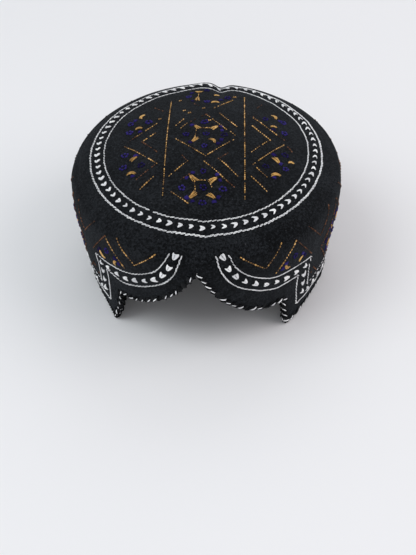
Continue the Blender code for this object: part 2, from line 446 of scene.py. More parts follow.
def new_mesh(name, verts, faces, places):
    """A smooth mesh, and the place on the cloth or the thread of each of its corners."""
    mesh = bpy.data.meshes.new(name)
    mesh.from_pydata([tuple(v) for v in verts.tolist()], [], faces)
    mesh.update()
    at = np.zeros(len(mesh.loops), np.int64)
    mesh.loops.foreach_get("vertex_index", at)
    mesh.polygons.foreach_set("use_smooth", [True] * len(mesh.polygons))
    return mesh, places[at]


def set_uv(mesh, uv):
    layer = mesh.uv_layers.new(name="UVMap")
    layer.data.foreach_set("uv", uv.astype(np.float32).ravel())


def shell(name, outer, inner, across, up, poles=()):
    """A closed shell between two grids of points, with the cloth's own places as its UV map."""
    rows, cols = outer.shape[:2]
    sheets = [outer.reshape(-1, 3), inner.reshape(-1, 3), np.reshape(poles, (-1, 3))]
    verts = np.concatenate(sheets)
    back, top, tip = rows * cols, (rows - 1) * cols, 2 * rows * cols
    r, c = (g.ravel() for g in np.meshgrid(np.arange(rows - 1), np.arange(cols), indexing="ij"))
    d = (c + 1) % cols
    front = np.stack([r * cols + c, r * cols + d, (r + 1) * cols + d, (r + 1) * cols + c], 1)
    c = np.arange(cols)
    d = (c + 1) % cols
    faces = [front, back + front[:, ::-1], np.stack([back + c, back + d, d, c], 1)]
    if len(poles) == 0:
        faces.append(np.stack([top + c, top + d, back + top + d, back + top + c], 1))
    faces = [tuple(f) for f in np.concatenate(faces).tolist()]
    if len(poles):
        faces += [(top + i, top + (i + 1) % cols, tip) for i in range(cols)]
        faces += [(back + top + (i + 1) % cols, back + top + i, tip + 1) for i in range(cols)]
    places = np.stack([np.tile(across.ravel(), 2), np.tile(up.ravel(), 2)], 1)
    mesh, uv = new_mesh(name, verts, faces, np.concatenate([places, np.zeros((2, 2))]))
    if len(poles) == 0:
        # Faces across the back keep their places together
        total = across.max() - across.min()
        quads = uv.reshape(-1, 4, 2)[:, :, 0]
        first = quads[:, :1].copy()
        quads[first - quads > total / 2] += total
        quads[quads - first > total / 2] -= total
    set_uv(mesh, uv)
    mesh.calc_loop_triangles()
    tris = np.zeros(len(mesh.loop_triangles) * 3, np.int64)
    mesh.loop_triangles.foreach_get("vertices", tris)
    if np.linalg.det(verts[tris.reshape(-1, 3)]).sum() < 0:
        mesh.flip_normals()
    mesh.set_sharp_from_angle(angle=math.radians(60))
    return link(name, mesh)


def strand(path, radius, sides=5, wide=1.0, closed=False, taper=0.45):
    """A round thread along a path: points, faces and the place along and round it."""
    path = np.array(path, float)
    count = len(path)
    ahead = np.roll(path, -1, 0) - np.roll(path, 1, 0)
    if not closed:
        ahead[0], ahead[-1] = path[1] - path[0], path[-1] - path[-2]
    ahead /= np.linalg.norm(ahead, axis=1, keepdims=True)
    side = np.cross(np.array([0, 0, 1.0]), ahead)
    flat = np.linalg.norm(side, axis=1) < 0.2
    side[flat] = np.cross(ahead[flat], np.array([0, 1.0, 0.001]))
    for i in range(1, count):
        if side[i] @ side[i - 1] < 0 and flat.any():
            side[i] *= -1
    side /= np.linalg.norm(side, axis=1, keepdims=True)
    up = np.cross(ahead, side)
    turn = np.linspace(0, 2 * np.pi, sides, endpoint=False)
    size = np.full(count, radius)
    if not closed:
        size[0] = size[-1] = radius * taper
    ring = (
        path[:, None]
        + side[:, None] * (np.cos(turn)[None, :, None] * size[:, None, None] * wide)
        + up[:, None] * (np.sin(turn)[None, :, None] * size[:, None, None])
    )
    verts = ring.reshape(-1, 3)
    faces = []
    last = count if closed else count - 1
    for i in range(last):
        j = (i + 1) % count
        for k in range(sides):
            m = (k + 1) % sides
            faces.append((i * sides + k, i * sides + m, j * sides + m, j * sides + k))
    if not closed:
        faces.append(tuple(reversed(range(sides))))
        faces.append(tuple((count - 1) * sides + k for k in range(sides)))
    far = np.concatenate([[0], np.cumsum(np.linalg.norm(np.diff(path, axis=0), axis=1))])
    uv = np.stack(
        [np.repeat(far, sides), np.tile(turn / (2 * np.pi) * radius * 6, count)], 1
    )
    return verts, faces, uv


def form(name, strands):
    """A small mesh of several threads, made once and repeated by the stitch trees."""
    faces, base = [], 0
    for points, quads, _ in strands:
        faces += [tuple(base + i for i in q) for q in quads]
        base += len(points)
    verts, _, places = zip(*strands)
    mesh, uv = new_mesh(name, np.concatenate(verts), faces, np.concatenate(places))
    set_uv(mesh, uv)
    return link(name, mesh)


def chain_form():
    """One link of chain stitch: a slanting loop that the next link grows out of."""
    turn = np.linspace(0, 2 * np.pi, 12, endpoint=False)
    x = 0.00172 * np.cos(turn)
    y = 0.00038 * np.sin(turn) * (1 - 0.35 * np.cos(turn)) + 0.00034 * np.cos(turn)
    z = 0.00016 + 0.00016 * np.cos(turn)
    return form("chain_link_form", [strand(np.stack([x, y, z], 1), 0.00024, 5, 1.0, True)])


def running_form(name="running_stitch_form", half=0.00068, thick=0.00032):
    """One running stitch: two plies lying side by side and dipping at the ends."""
    plies = []
    for side in (-1, 1):
        t = np.linspace(-1, 1, 6)
        x = half * t
        y = side * thick * 0.75 * np.cos(t * 2.4)
        z = 0.00034 * (1 - t**2) - 0.00014 + side * 0.00008 * np.sin(t * 2.4)
        plies.append(strand(np.stack([x, y, z], 1), thick, 5))
    return form(name, plies)


def mark_form(name, long, inner, outer, notch):
    """A white mark: padded satin threads in two arms, joined in a blunt point."""
    threads = []
    t = np.linspace(0, 1, 5)[:, None]
    bow = np.sin(np.pi * t[:, 0])
    for side, reach in ((1, inner), (-1, outer)):
        for s in np.arange(6) / 5.0:
            start = np.array([0.0019 - long * s, side * 0.00012, 0.00052])
            far = side * reach * (1 - 0.22 * abs(1 - 1.5 * s))
            path = start * (1 - t) + np.array([-0.0005 - notch * s, far, 0.00004]) * t
            path[:, 0] += 0.00030 * bow
            path[:, 2] += 0.00036 * bow**0.7
            threads.append(strand(path, 0.00037, 5, 1.0, False, 0.7))
    return form(name, threads)


def petal_form(name, half, wide, bend, loose):
    """Gold petal stitches fanned from its narrow end to its wide one, with gaps between."""
    threads = []
    for i, s in enumerate((-1.0, -0.48, 0.36, 1.0)):
        t = np.linspace(-1, 1, 6)
        short = 1 - 0.16 * abs(s) - loose * (i % 2)
        x = half * t * short + 0.0005 * s * loose * 4
        y = s * wide * (1 - 0.42 * t) + bend * (1 - t**2) - bend * 0.5
        z = 0.00026 * (1 - s**2 * 0.5) * (1 - t**4) + 0.00006
        threads.append(strand(np.stack([x, y, z], 1), 0.00030, 5, 1.0, False, 0.7))
    return form(name, threads)


def knot_form(name, long, thick):
    """A blue eyelet: small stitches set in a ring round a hole."""
    stitches = []
    for i in range(5):
        turn = 2 * np.pi * (i + np.linspace(-0.36, 0.36, 4)) / 5
        far = 0.00142 * (1 + 0.10 * (-1) ** i)
        x, y = far * long * np.cos(turn), far * np.sin(turn)
        z = 0.00022 * np.cos(np.linspace(-1.4, 1.4, 4)) + 0.00004
        stitches.append(strand(np.stack([x, y, z], 1), thick, 5, 1.0, False, 0.6))
    return form(name, stitches)


def dash_form():
    """Short blue satin stitches side by side, at the end of a petal."""
    threads = []
    for i in range(4):
        t = np.linspace(-1, 1, 5)
        y = 0.00056 * (i - 1.5) + 0.0003 * (1 - t**2)
        path = np.stack([0.0018 * t * (1 - 0.2 * (i % 2)), y, 0.00026 * (1 - t**2)], 1)
        threads.append(strand(path, 0.00034, 5))
    return form("blue_dash_form", threads)


def overcast_form(name, slant, reach, width, proud, drop=0.0008, flat=1.0):
    """One overcast stitch: over the outside, round the hem and up the inside, leaning along it."""
    inside = CLOTH_THICK
    path = (
        (slant * 0.60, reach, proud * 0.20),
        (slant * 0.42, reach * 0.72, proud * 0.85),
        (slant * 0.12, reach * 0.30, proud),
        (-slant * 0.22, -drop * 0.3, proud * 0.70),
        (-slant * 0.40, -drop * 0.95, -inside * 0.25),
        (-slant * 0.40, -drop, -inside * 0.75),
        (-slant * 0.25, -drop * 0.25, -inside - proud * 0.8),
        (slant * 0.10, reach * 0.35, -inside - proud),
        (slant * 0.40, reach * 0.80, -inside - proud * 0.4),
    )
    return form(name, [strand(path, width / 2 / flat, 6, flat)])


def three_forms(make, name, rows):
    """Three stitches of one kind that differ a little, as sewn by hand."""
    return [make(f"{name}_{letter}", *row) for letter, row in zip("abc", rows)]


# Node trees


STITCH_INPUTS = (
    ("Stitch", "Object", None),
    ("Second Stitch", "Object", None),
    ("Third Stitch", "Object", None),
    ("Spacing", "Float", 0.003),
    ("Size", "Vector", (1.0, 1.0, 1.0)),
    ("Size Spread", "Float", 0.08),
    ("Turn Spread", "Float", 0.08),
    ("Kept Share", "Float", 1.0),
    ("Swell", "Float", 0.0),
    ("Beat", "Float", 4.0),
    ("Seed", "Int", 7),
    ("Material", "Material", None),
)


def add_node(tree, kind, inputs=(), take=None, **settings):
    """A node with its settings made and its inputs linked or set. Gives one of its outputs."""
    node = tree.nodes.new(kind)
    for key, value in settings.items():
        setattr(node, key, value)
    free = [s for s in node.inputs if s.enabled]
    if isinstance(inputs, dict):
        free = [next(s for s in free if s.name == label) for label in inputs]
        inputs = inputs.values()
    for socket, value in zip(free, inputs):
        if isinstance(value, bpy.types.NodeSocket):
            tree.links.new(value, socket)
        else:
            socket.default_value = value
    return next(s for s in node.outputs if s.enabled and take in (None, s.name))


def maths(tree, operation, *values):
    return add_node(tree, "ShaderNodeMath", values, operation=operation)


def stitch_tree(name, along_path):
    """Sets a stitch along paths, or once on each point, standing out of the cloth."""
    tree = bpy.data.node_groups.new(name, "GeometryNodeTree")
    tree.is_modifier = True
    new_socket = tree.interface.new_socket
    new_socket(name="Geometry", in_out="INPUT", socket_type="NodeSocketGeometry")
    for label, kind, value in STITCH_INPUTS:
        socket = new_socket(name=label, in_out="INPUT", socket_type="NodeSocket" + kind)
        if value is not None:
            socket.default_value = value
    new_socket(name="Geometry", in_out="OUTPUT", socket_type="NodeSocketGeometry")
    add, do = partial(add_node, tree), partial(maths, tree)
    given = tree.nodes.new("NodeGroupInput").outputs
    points, seed = given["Geometry"], given["Seed"]

    def named(label, kind="FLOAT_VECTOR"):
        return add("GeometryNodeInputNamedAttribute", {"Name": label}, data_type=kind)

    def chance(kind, **inputs):
        return add("FunctionNodeRandomValue", inputs, data_type=kind)

    def between(low, high, own):
        return chance("FLOAT", Min=low, Max=high, Seed=do("ADD", seed, own))

    if along_path:
        curve = add("GeometryNodeMeshToCurve", {"Mesh": points})
        inputs = {"Curve": curve, "Length": given["Spacing"]}
        points = add("GeometryNodeResampleCurve", inputs, mode="LENGTH")
        forward = add("GeometryNodeInputTangent")
        which = chance("INT", Min=0, Max=2, Seed=seed)
    else:
        forward, which = named("along"), named("kind", "INT")
    inputs = {"Primary Axis": named("out"), "Secondary Axis": forward}
    axes = {"primary_axis": "Z", "secondary_axis": "X"}
    stand = add("FunctionNodeAxesToRotation", inputs, **axes)
    turn = given["Turn Spread"]
    inputs = {"Axis": (0, 0, 1), "Angle": between(do("MULTIPLY", turn, -1.0), turn, 11)}
    wobble = add("FunctionNodeAxisAngleToRotation", inputs)
    inputs = {"Rotation": stand, "Rotate By": wobble}
    turned = add("FunctionNodeRotateRotation", inputs, rotation_space="LOCAL")
    bag = tree.nodes.new("GeometryNodeJoinGeometry")
    for label in ("Third Stitch", "Second Stitch", "Stitch"):
        inputs = {"Object": given[label], "As Instance": True}
        own = {"take": "Geometry", "transform_space": "ORIGINAL"}
        picked = add("GeometryNodeObjectInfo", inputs, **own)
        tree.links.new(picked, bag.inputs["Geometry"])
    place = do("DIVIDE", add("GeometryNodeInputIndex"), given["Beat"])
    wave = do("SINE", do("MULTIPLY", place, 2 * math.pi))
    beat = do("ADD", do("MULTIPLY", wave, given["Swell"]), 1.0)
    least, most = (do(way, 1.0, given["Size Spread"]) for way in ("SUBTRACT", "ADD"))
    scale = do("MULTIPLY", between(least, most, 23), beat)
    inputs = {"Vector": given["Size"], "Scale": scale}
    inputs = {
        "Points": points,
        "Selection": chance("BOOLEAN", Probability=given["Kept Share"], Seed=seed),
        "Instance": bag.outputs["Geometry"],
        "Pick Instance": True,
        "Instance Index": which,
        "Rotation": turned,
        "Scale": add("ShaderNodeVectorMath", inputs, operation="SCALE"),
    }
    put = add("GeometryNodeInstanceOnPoints", inputs)
    inputs = {"Geometry": put, "Name": "tone", "Value": between(0.0, 1.0, 37)}
    own = {"data_type": "FLOAT", "domain": "INSTANCE"}
    toned = add("GeometryNodeStoreNamedAttribute", inputs, **own)
    real = add("GeometryNodeRealizeInstances", {"Geometry": toned})
    inputs = {"Geometry": real, "Material": given["Material"]}
    painted = add("GeometryNodeSetMaterial", inputs)
    tree.links.new(painted, tree.nodes.new("NodeGroupOutput").inputs["Geometry"])
    return tree


def set_attribute(mesh, name, kind, values):
    field = "value" if kind == "INT" else "vector"
    mesh.attributes.new(name, kind, "POINT").data.foreach_set(field, values.ravel())


def stitched(name, runs, forms, thread_name, seed, slot=None, replaces=None, **inputs):
    """A piece of many stitches. Each run is points, directions out, and for single marks also
    directions along and kinds. The inputs are those of the stitch trees."""
    at, out, *marks = (np.concatenate(column) for column in zip(*runs))
    ends = np.cumsum([len(run[0]) for run in runs])
    edges = [] if marks else [(i - 1, i) for i in range(1, len(at)) if i not in ends]
    mesh = bpy.data.meshes.new(name + "_path")
    mesh.from_pydata([tuple(p) for p in at], edges, [])
    set_attribute(mesh, "out", "FLOAT_VECTOR", out.astype(np.float32))
    tree_name = "stitches_along_path"
    if marks:
        tree_name = "stitches_on_points"
        set_attribute(mesh, "along", "FLOAT_VECTOR", marks[0].astype(np.float32))
        set_attribute(mesh, "kind", "INT", marks[1].astype(np.int32))
    tree = bpy.data.node_groups.get(tree_name) or stitch_tree(tree_name, not marks)
    guide = link(name + "_guide", mesh)
    modifier = guide.modifiers.new("Stitches", "NODES")
    modifier.node_group = tree
    sockets = {
        s.name: s.identifier
        for s in tree.interface.items_tree
        if s.item_type == "SOCKET" and s.in_out == "INPUT"
    }
    for label, chosen in zip(("Stitch", "Second Stitch", "Third Stitch"), forms * 3):
        modifier[sockets[label]] = chosen
    for key, value in inputs.items():
        modifier[sockets[key.replace("_", " ").title()]] = np.array(value, float).tolist()
    modifier[sockets["Seed"]] = bpy.context.scene.cap_sizes.seed + seed
    modifier[sockets["Material"]] = thread(thread_name)
    bpy.context.view_layer.update()
    graph = bpy.context.evaluated_depsgraph_get()
    made = bpy.data.meshes.new_from_object(
        guide.evaluated_get(graph), preserve_all_data_layers=True, depsgraph=graph
    )
    if not made.polygons:
        raise RuntimeError(f"{name}: the stitch tree made nothing")
    guide.modifiers.remove(modifier)
    made.name = name
    for done in (guide, *forms):
        bpy.data.objects.remove(done, do_unlink=True)
    return finish_piece(link(name, made), replaces)


# Materials


def plain_material(name, color, roughness, sheen, sheen_tint, specular=0.3, sheen_roughness=0.45):
    material = bpy.data.materials.new(name)
    material.use_nodes = True
    shader = material.node_tree.nodes["Principled BSDF"]
    for label, value in (
        ("Base Color", (*color, 1)),
        ("Roughness", roughness),
        ("Sheen Weight", sheen),
        ("Sheen Roughness", sheen_roughness),
        ("Sheen Tint", (*sheen_tint, 1)),
        ("Specular IOR Level", specular),
    ):
        shader.inputs[label].default_value = value
    return material, material.node_tree, shader


def weighted(tree, *parts):
    """The sum of several tones, each times its weight."""
    total, *rest = (maths(tree, "MULTIPLY", tone, weight) for tone, weight in parts)
    for part in rest:
        total = maths(tree, "ADD", total, part)
    return total


def ramp(tree, factor, stops):
    node = tree.nodes.new("ShaderNodeValToRGB")
    while len(node.color_ramp.elements) < len(stops):
        node.color_ramp.elements.new(0.5)
    for element, (place, color) in zip(node.color_ramp.elements, stops):
        element.position = place
        element.color = (*color, 1)
    tree.links.new(factor, node.inputs["Fac"])
    return node.outputs["Color"]


def noise(tree, scale, detail, rough=0.5):
    """Slow or fine unevenness in the object's own places."""
    place = add_node(tree, "ShaderNodeTexCoord", take="Object")
    inputs = {"Vector": place, "Scale": scale, "Detail": detail, "Roughness": rough}
    return add_node(tree, "ShaderNodeTexNoise", inputs, take="Fac")


def add_bump(tree, shader, height, strength, distance):
    inputs = {"Strength": strength, "Distance": distance, "Height": height}
    tree.links.new(add_node(tree, "ShaderNodeBump", inputs), shader.inputs["Normal"])


def cloth_material(name):
    """Charcoal cotton: a fine over and under weave, brushed fibres and lint."""
    color = tuple(bpy.context.scene.cap_colours.cloth)
    dark = tuple(c * 0.28 for c in color)
    light = tuple(min(c * 2.7 + 0.004, 1) for c in color)
    tint = (0.72, 0.8, 0.92)
    material, tree, shader = plain_material(name, color, 0.95, 0.040, tint, 0.085, 0.5)
    place = add_node(tree, "ShaderNodeUVMap", uv_map="UVMap")
    turns = 2 * math.pi / (2 * bpy.context.scene.cap_sizes.weave_pitch)
    threads = []
    for way in ("X", "Y"):
        length = add_node(tree, "ShaderNodeSeparateXYZ", {"Vector": place}, take=way)
        threads.append(maths(tree, "SINE", maths(tree, "MULTIPLY", length, turns)))
    weave = maths(tree, "MULTIPLY", *threads)
    fibre, slub = noise(tree, 1500, 3, 0.6), noise(tree, 620, 2, 0.6)
    patch = noise(tree, 38, 3, 0.55)
    height = weighted(tree, (weave, 0.35), (fibre, 1.1), (slub, 0.9))
    mix = weighted(tree, (fibre, 0.34), (slub, 0.46), (patch, 0.20), (weave, 0.035))
    tone = ramp(tree, mix, ((0.43, dark), (0.50, color), (0.58, light)))
    lint_stops = ((0.735, (0, 0, 0)), (0.79, (0.05, 0.05, 0.055)))
    inputs = {"Factor": 1.0, "A": tone, "B": ramp(tree, noise(tree, 900, 1, 0.4), lint_stops)}
    added = add_node(tree, "ShaderNodeMix", inputs, data_type="RGBA", blend_type="ADD")
    tree.links.new(added, shader.inputs["Base Color"])
    add_bump(tree, shader, height, 0.75, 0.00045)
    return material


# Threads: colour, brightness, share of it in the painted shade, roughness, sheen, specular, then
# size and share of the patches of painted sheen (painted highlight and shade) and lift of the
# painted highlight, the brightest tone
THREADS = {
    "white_thread": ("white", 1.0, (0.86, 0.86, 0.86), 0.62, 0.25, 0.4, 260.0, 0.38, 0.01),
    "gold_thread": ("gold", 1.0, (0.16, 0.12, 0.12), 0.42, 0.05, 0.35, 170.0, 0.38, 0.09),
    # The petals' gold: a brighter copy of the same dye, with a larger share of painted sheen and a
    # paler painted highlight
    "gold_petal_thread": ("gold", 1.15, (0.25, 0.25, 0.25), 0.42, 0.05, 0.35, 620.0, 0.75, 0.14),
    "rust_thread": ("rust", 1.0, (0.12, 0.12, 0.12), 0.6, 0.0, 0.15, 170.0, 0.38, 0.01),
    "blue_thread": ("blue", 1.0, (0.35, 0.35, 0.35), 0.7, 0.0, 0.12, 260.0, 0.38, 0.01),
    "dark_thread": ("cloth", 0.8, (0.32, 0.32, 0.32), 0.85, 0.02, 0.08, 260.0, 0.38, 0.01),
}


def thread(name):
    """Embroidery thread, made the first time it is asked for: twisted plies along the stitch, a
    tone of its own in each stitch, and patches of painted highlight and painted shade spread at
    random along it."""
    made = bpy.data.materials.get(name)
    if made:
        return made
    setting, bright, dark, roughness, sheen, specular, sheen_size, sheen_share, lift = THREADS[name]
    dye = getattr(bpy.context.scene.cap_colours, setting)
    color, shade = tuple(c * bright for c in dye), tuple(c * d for c, d in zip(dye, dark))
    finish = (roughness, sheen, (1, 1, 1), specular, 0.35)
    material, tree, shader = plain_material(name, color, *finish)
    tone = add_node(tree, "ShaderNodeAttribute", take="Fac", attribute_name="tone")
    place = add_node(tree, "ShaderNodeUVMap", uv_map="UVMap")
    inputs = {"Vector": place, "Scale": 1500.0, "Distortion": 1.2}
    own = {"take": "Fac", "wave_type": "BANDS", "bands_direction": "DIAGONAL"}
    plies = add_node(tree, "ShaderNodeTexWave", inputs, **own)
    # Painted sheen: noise that moves the thread's tone towards painted highlight or painted shade,
    # placed at random
    painted_sheen = noise(tree, sheen_size, 2, 0.6)
    mix = weighted(tree, (tone, 1.0 - sheen_share), (painted_sheen, sheen_share), (plies, 0.16))
    # Painted highlight: the brightest tone, paler than the dye; the darkest stop of the ramp is
    # painted shade
    light = tuple(min(c * 1.6 + lift, 1) for c in color)
    tones = ramp(tree, mix, ((0.28, shade), (0.58, color), (0.86, light)))
    tree.links.new(tones, shader.inputs["Base Color"])
    add_bump(tree, shader, plies, 0.5, 0.0001)
    return material


def floor_material(color):
    material, tree, shader = plain_material("studio_floor", color, 0.9, 0.0, (1, 1, 1), 0.15)
    stops = ((0.3, tuple(c * 0.985 for c in color)), (0.7, color))
    tree.links.new(ramp(tree, noise(tree, 2.0, 2), stops), shader.inputs["Base Color"])
    return material


# Settings shown in the sidebar


def length_setting(name, description, default, low, high):
    """A length in metres that the sidebar shows in the scene's units."""
    sizes = {"default": default, "min": low, "max": high}
    return FloatProperty(
        name=name, description=description, subtype="DISTANCE", unit="LENGTH", **sizes
    )


def colour_setting(name, description, default):
    return FloatVectorProperty(
        name=name, description=description, default=default, subtype="COLOR", size=3, min=0, max=1
    )


class CapSizes(bpy.types.PropertyGroup):
    """Sizes of the cap's stitches and cloth."""

    weave_pitch: length_setting(
        "Weave Pitch", "Distance from one thread of the cloth to the next", 0.0005, 0.0002, 0.002
    )
    chain_spacing: length_setting(
        "Chain Spacing", "Length of one link in the white chain lines", 0.0031, 0.001, 0.01
    )
    mark_spacing: length_setting(
        "Mark Spacing", "Distance between the white marks along the hem", 0.0089, 0.004, 0.02
    )
    running_spacing: length_setting(
        "Running Stitch Spacing", "Length of a running stitch with its gap", 0.0020, 0.001, 0.01
    )
    tick_spacing: length_setting(
        "Tick Spacing", "Distance between the white stitches over the hem", 0.0055, 0.003, 0.03
    )
    seed: IntProperty(
        name="Seed",
        description="Fixes how the hand-made stitches differ from each other",
        default=7,
        min=0,
    )


class CapColours(bpy.types.PropertyGroup):
    """Colours of the cap's cloth and threads."""

    cloth: colour_setting("Cloth", "Charcoal cotton of crown and band", (0.0044, 0.0051, 0.0062))
    white: colour_setting("White Thread", "Chain lines and marks", (0.86, 0.86, 0.88))
    gold: colour_setting("Gold Thread", "Silk of the diamonds and petals", (0.54, 0.29, 0.070))
    rust: colour_setting("Rust Thread", "Dull lines on the sides", (0.13, 0.052, 0.022))
    blue: colour_setting("Blue Thread", "Thread of the eyelets", (0.0150, 0.0085, 0.1050))
    floor: colour_setting("Floor", "Pale studio floor", (0.86, 0.85, 0.86))


def finish_piece(obj, replaces=None):
    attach(obj, "root")
    if replaces:
        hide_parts(replaces)
    return obj


def wrapped(angle):
    return (angle + 180) % 360 - 180


def near_corners(step, fine, corners):
    """Angles round the cap, closer together beside the hem's corners and the rim's folds."""
    base = [np.arange(-180, 180, step), 180 + np.arange(-9, 6.1, step / 2)]
    base += [c + np.arange(-2.4, 2.41, fine) for c in corners]
    first, *others = sorted({round(b, 3) for b in wrapped(np.concatenate(base)).tolist()})
    angles, exact = [first], {round(c, 3) for c in corners}
    for b in others:
        if b - angles[-1] >= fine * 0.9:
            angles.append(b)
        elif b in exact:
            angles[-1] = b
    return np.array(angles)


class CAP_OT_side_band(bpy.types.Operator):
    """Makes the side band with the arch cut in its front"""

    bl_idname = "cap.side_band"
    bl_label = "Side Band"

    def execute(self, context):
        outline, heights, corners = hem_outline()
        angle = near_corners(0.8, 0.25, corners)
        low = np.maximum(np.interp(angle, outline, heights) + 0.0003, 0.0023)
        shares = np.concatenate([np.linspace(0, 0.86, 38), np.linspace(0.875, 1, 14)])
        height = low[None] + shares[:, None] * (BAND_TOP - low[None])
        around = np.broadcast_to(angle, height.shape)
        across = round_length(around)
        lines = []
        for side, table in ((s, t) for s in (-1, 1) for t in (BAND_OUTER, BAND_INNER)):
            path = side_path(table, side)[::3]
            lines.append(np.stack([round_length(path[:, 0]), path[:, 1]], 1))
        pull = near_line(across, height, np.concatenate(lines), 0.0016)
        outer, out = on_band(around, height)
        outer = outer - out * (0.0004 * pull)[..., None]
        plain = band_at(around, height)
        inner = plain - out * CLOTH_THICK
        inner[-1] = plain[-1] - out[-1] * CLOTH_THICK * 0.8
        obj = shell("side_band_cloth", outer, inner, across, height)
        obj.data.materials.append(cloth_material("band_cloth"))
        finish_piece(obj, "side_band")
        return {"FINISHED"}


class CAP_OT_crown(bpy.types.Operator):
    """Makes the domed crown"""

    bl_idname = "cap.crown"
    bl_label = "Crown"

    def execute(self, context):
        angle = near_corners(0.9, 0.3, [0.0])
        spans = ((CROWN_RIM, 0.0868, 10), (0.0858, 0.0690, 22), (0.0670, 0.0030, 26))
        rings = np.concatenate([np.linspace(*span) for span in spans])
        half = np.broadcast_to(rings[:, None], (len(rings), len(angle)))
        turn = np.radians(np.broadcast_to(angle, half.shape))
        x, y = half * np.sin(turn), -LENGTH_PER_WIDTH * half * np.cos(turn)
        outer, out = on_crown(x, y)
        inner = crown_at(x, y) - out * CLOTH_THICK
        middle = np.zeros(1)
        under = crown_at(middle, middle)[0] - np.array([0, 0, CLOTH_THICK])
        poles = (on_crown(middle, middle)[0][0], under)
        obj = shell("crown_cloth", outer, inner, x, y, poles)
        obj.data.materials.append(cloth_material("crown_cloth"))
        finish_piece(obj, "crown")
        return {"FINISHED"}


def hem_path(step=0.0007):
    """Points evenly along the hem, once round, with the directions out of the cloth."""
    outline, heights, _ = hem_outline()
    inside = outline[(outline > -180) & (outline < 180)]
    left, right = np.linspace(-180, inside[0], 260)[:-1], np.linspace(inside[-1], 180, 260)[1:]
    angle = np.concatenate([left, inside, right])
    height = np.interp(angle, outline, heights)
    far = far_along(np.stack([round_length(angle), height], 1))
    keep = np.concatenate([[True], np.diff(far) > 1e-7])
    steps = np.linspace(0, far[-1], int(far[-1] / step))
    return np.interp(steps, far[keep], angle[keep]), np.interp(steps, far[keep], height[keep])


# Stitches over the hem: slant, reach, width, how proud, drop, flatness
DARK_STITCHES = (
    (0.0026, 0.0022, 0.00165, 0.00020, 0.0011, 1.7),
    (0.0030, 0.0019, 0.00180, 0.00024, 0.0012, 1.7),
    (0.0023, 0.0025, 0.00155, 0.00018, 0.0010, 1.7),
)
WHITE_STITCHES = (
    (0.0032, 0.0015, 0.00080, 0.00076, 0.0010),
    (0.0038, 0.0012, 0.00074, 0.00070, 0.0010),
    (0.0028, 0.0018, 0.00084, 0.00080, 0.0009),
)


class CAP_OT_hem_edging(bpy.types.Operator):
    """Oversews the hem with dark thread and white ticks"""

    bl_idname = "cap.hem_edging"
    bl_label = "Hem Edging"

    def execute(self, context):
        angle, height = hem_path()
        at, out = on_band(angle, np.maximum(height, 0.0004))
        at[:, 2] = np.maximum(at[:, 2], 0.0026)
        length = np.linalg.norm(np.diff(at, axis=0), axis=1).sum()
        ticks = round(length / context.scene.cap_sizes.tick_spacing)
        cusp = int(np.argmax(height))
        sides = (slice(cusp - CUSP_CLEAR[0]), slice(cusp + CUSP_CLEAR[1], None))
        runs = [(at[side], out[side]) for side in sides]
        stitched(
            "hem_overcast_dark",
            runs,
            three_forms(overcast_form, "dark_stitch", DARK_STITCHES),
            "dark_thread",
            0,
            "edging_thread",
            "hem_edging",
            spacing=length / (4 * ticks) - 1e-7,
            size_spread=0.10,
            turn_spread=0.12,
            swell=0.42,
        )
        stitched(
            "hem_overcast_white",
            runs,
            three_forms(overcast_form, "white_stitch", WHITE_STITCHES),
            "white_thread",
            3,
            spacing=length / ticks - 1e-7,
            size_spread=0.20,
            turn_spread=0.22,
            kept_share=0.78,
        )
        return {"FINISHED"}


def hand_wobble(place, depth=0.00010):
    """How far a hand-drawn line strays to the side at this length along it."""
    stray = np.sin(place * 410 + 1.3) + 0.8 * np.sin(place * 903 + 0.4) + 0.6 * np.sin(place * 187)
    return depth * stray


def ring_run(half):
    """Points round the crown at this half width, with the directions out of it."""
    turn = np.radians(np.linspace(-180, 180, 1081))
    half = half + hand_wobble(round_length(np.degrees(turn)) + half * 31) * np.cos(turn / 2) ** 0.2
    return on_crown(half * np.sin(turn), -LENGTH_PER_WIDTH * half * np.cos(turn), 0.0001)


def mark_forms(full=0.0):
    """Three marks of different shape. A fuller mark has a shallower notch in its back."""
    rows = (
        (0.0023 + full, 0.0025, 0.0021, 0.0016 + full * 0.35),
        (0.0028 + full, 0.0022, 0.0021, 0.0011 + full * 0.45),
        (0.0019 + full, 0.0027, 0.0018, 0.0014 + full * 0.3),
    )
    return three_forms(mark_form, "mark_form", rows)


class CAP_OT_white_ring(bpy.types.Operator):
    """Embroiders the two white lines and the marks of the crown's ring"""

    bl_idname = "cap.white_ring"
    bl_label = "White Ring"

    def execute(self, context):
        chain = context.scene.cap_sizes.chain_spacing
        mark_gap = 2 * math.pi * RING_MARKS * RING_OVAL_SHARE / RING_MARK_COUNT
        for name, half, forms, gap, size, spread, turn, share, seed in (
            ("outer_chain", RING_OUTER, "chain", chain, (0.90, 0.98, 1.0), 0.12, 0.09, 1.0, 2),
            ("inner_chain", RING_INNER, "chain", chain, (0.86, 0.74, 0.92), 0.12, 0.09, 0.985, 5),
            ("marks", RING_MARKS, "marks", mark_gap, (0.86, 0.83, 0.92), 0.15, 0.22, 1.0, 9),
        ):
            forms = [chain_form()] if forms == "chain" else mark_forms()
            own = {"spacing": gap, "size": size, "kept_share": share, "size_spread": spread}
            run = ring_run(half)
            stitched("ring_" + name, [run], forms, "white_thread", seed, turn_spread=turn, **own)
        return {"FINISHED"}


